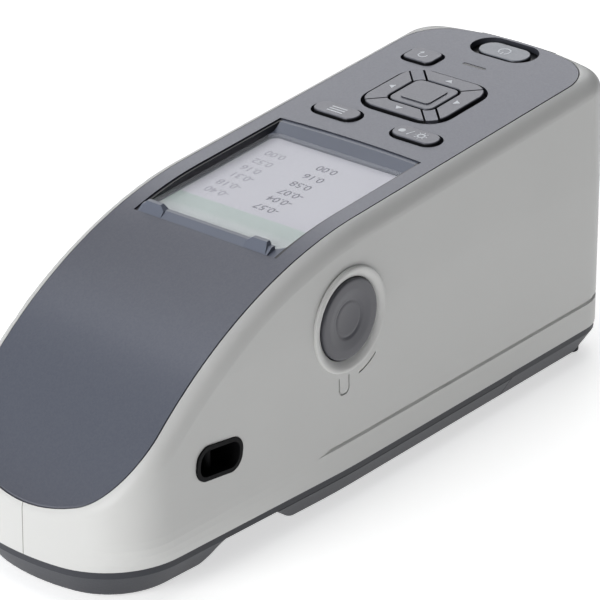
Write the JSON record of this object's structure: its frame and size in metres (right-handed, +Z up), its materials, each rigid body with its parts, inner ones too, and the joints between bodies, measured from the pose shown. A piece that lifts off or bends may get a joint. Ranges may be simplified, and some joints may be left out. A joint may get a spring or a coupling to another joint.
{
  "type": "portable spectrophotometer",
  "caption": "Hand-held colour measuring instrument with a sloping nose, display, keypad, side button, strap slot and a measuring port at the tall end.",
  "frame": {"origin": "on the surface that it rests on, in the middle of its length and width", "axes": "+X from the low nose to the tall measuring end, +Z up, the measuring button on the -Y side"},
  "size_m": [0.2116, 0.07, 0.0855],
  "materials": {
    "case_white": "fine moulded texture",
    "panel_grey": "satin metallic grey coat",
    "base_dark": "fine moulded texture",
    "bezel_grey": "satin",
    "clear_window": "clear acrylic",
    "lcd": "printed glass look",
    "light_guide": "milky",
    "circuit_board": "solder mask",
    "key_grey": "satin",
    "power_key_grey": "satin",
    "silicone": "matte",
    "button_dark": "satin",
    "black_plastic": "matte",
    "steel": "zinc plated",
    "rubber_black": "matte",
    "cell_sleeve": "printed sleeve",
    "sphere_white": "matte white coat",
    "lamp_glass": "clear",
    "machined_aluminium": "machined",
    "cast_black": "black anodised",
    "grating_mirror": "ruled mirror",
    "capacitor_sleeve": "shrink sleeve"
  },
  "bodies": {
    "case": {"backlight": "light_guide", "battery_cells": "cell_sleeve", "battery_contacts": "steel", "battery_holder": "black_plastic", "board_chips": "black_plastic", "board_screws": "steel", "bottom_cover": "base_dark", "button_ring": "case_white", "button_spring": "steel", "case_screws": "steel", "display_bezel": "bezel_grey", "display_board": "circuit_board", "display_window": "clear_window", "flash_capacitor": "capacitor_sleeve", "flash_lamp": "lamp_glass", "front_sphere": "sphere_white", "grating": "grating_mirror", "key_board": "circuit_board", "key_mat": "silicone", "lamp_board": "circuit_board", "lamp_housing": "machined_aluminium", "lcd_panel": "lcd", "left_shell": "case_white", "line_sensor": "black_plastic", "main_board": "circuit_board", "measure_switch": "black_plastic", "nav_corner_fillers": "key_grey", "optics_chassis": "machined_aluminium", "panel_screws": "steel", "port_ring": "base_dark", "power_board": "circuit_board", "power_socket": "black_plastic", "rear_base": "base_dark", "rear_sphere": "sphere_white", "receiver_lens": "lamp_glass", "receiver_tube": "machined_aluminium", "right_shell": "case_white", "rubber_feet": "rubber_black", "sensor_board": "circuit_board", "spectrometer_block": "cast_black", "spectrometer_cover": "cast_black", "status_light": "light_guide", "strap_bar": "steel", "strap_insert": "black_plastic", "switch_board": "circuit_board", "top_panel": "panel_grey", "usb_socket": "steel"},
    "battery_door": {"battery_door": "base_dark"},
    "connector_flap": {"connector_flap": "case_white"},
    "target_mask": {"target_mask": "black_plastic"},
    "measure_button": {"measure_button": "button_dark"},
    "menu_key": {"menu_key": "key_grey"},
    "backlight_key": {"backlight_key": "key_grey"},
    "corner_key": {"corner_key": "key_grey"},
    "power_key": {"power_key": "power_key_grey"},
    "select_key": {"select_key": "key_grey"},
    "up_key": {"up_key": "key_grey"},
    "left_key": {"left_key": "key_grey"},
    "down_key": {"down_key": "key_grey"},
    "right_key": {"right_key": "key_grey"}
  },
  "joints": [
    {"name": "battery_door_slide", "type": "slide", "parent": "case", "child": "battery_door", "axis": [-1, 0, 0], "range_m": [0, 0.008]},
    {"name": "connector_flap_hinge", "type": "hinge", "parent": "case", "child": "connector_flap", "pos_m": [-0.046, 0.0335, 0.0232], "axis": [-1, 0, 0], "range_deg": [0, 95]},
    {"name": "target_mask_turn", "type": "hinge", "parent": "case", "child": "target_mask", "pos_m": [0.1037, 0, 0.045], "axis": [1, 0, 0], "range_deg": [0, 30]},
    {"name": "measure_button_press", "type": "slide", "parent": "case", "child": "measure_button", "axis": [0, 1, 0], "range_m": [0, 0.0016], "stiffness_N_per_m": 800, "springref_m": -0.001, "deforming": ["button_spring"]},
    {"name": "menu_key_press", "type": "slide", "parent": "case", "child": "menu_key", "axis": [0.0645, 0, -0.9979], "range_m": [0, 0.0005], "stiffness_N_per_m": 1500, "springref_m": -0.0005},
    {"name": "backlight_key_press", "type": "slide", "parent": "case", "child": "backlight_key", "axis": [0.0645, 0, -0.9979], "range_m": [0, 0.0005], "stiffness_N_per_m": 1500, "springref_m": -0.0005},
    {"name": "corner_key_press", "type": "slide", "parent": "case", "child": "corner_key", "axis": [0.0645, 0, -0.9979], "range_m": [0, 0.0005], "stiffness_N_per_m": 1500, "springref_m": -0.0005},
    {"name": "power_key_press", "type": "slide", "parent": "case", "child": "power_key", "axis": [0.0645, 0, -0.9979], "range_m": [0, 0.0005], "stiffness_N_per_m": 1500, "springref_m": -0.0005},
    {"name": "select_key_press", "type": "slide", "parent": "case", "child": "select_key", "axis": [0.0645, 0, -0.9979], "range_m": [0, 0.0005], "stiffness_N_per_m": 1500, "springref_m": -0.0005},
    {"name": "up_key_press", "type": "slide", "parent": "case", "child": "up_key", "axis": [0.0645, 0, -0.9979], "range_m": [0, 0.0005], "stiffness_N_per_m": 1500, "springref_m": -0.0005},
    {"name": "left_key_press", "type": "slide", "parent": "case", "child": "left_key", "axis": [0.0645, 0, -0.9979], "range_m": [0, 0.0005], "stiffness_N_per_m": 1500, "springref_m": -0.0005},
    {"name": "down_key_press", "type": "slide", "parent": "case", "child": "down_key", "axis": [0.0645, 0, -0.9979], "range_m": [0, 0.0005], "stiffness_N_per_m": 1500, "springref_m": -0.0005},
    {"name": "right_key_press", "type": "slide", "parent": "case", "child": "right_key", "axis": [0.0645, 0, -0.9979], "range_m": [0, 0.0005], "stiffness_N_per_m": 1500, "springref_m": -0.0005}
  ]
}
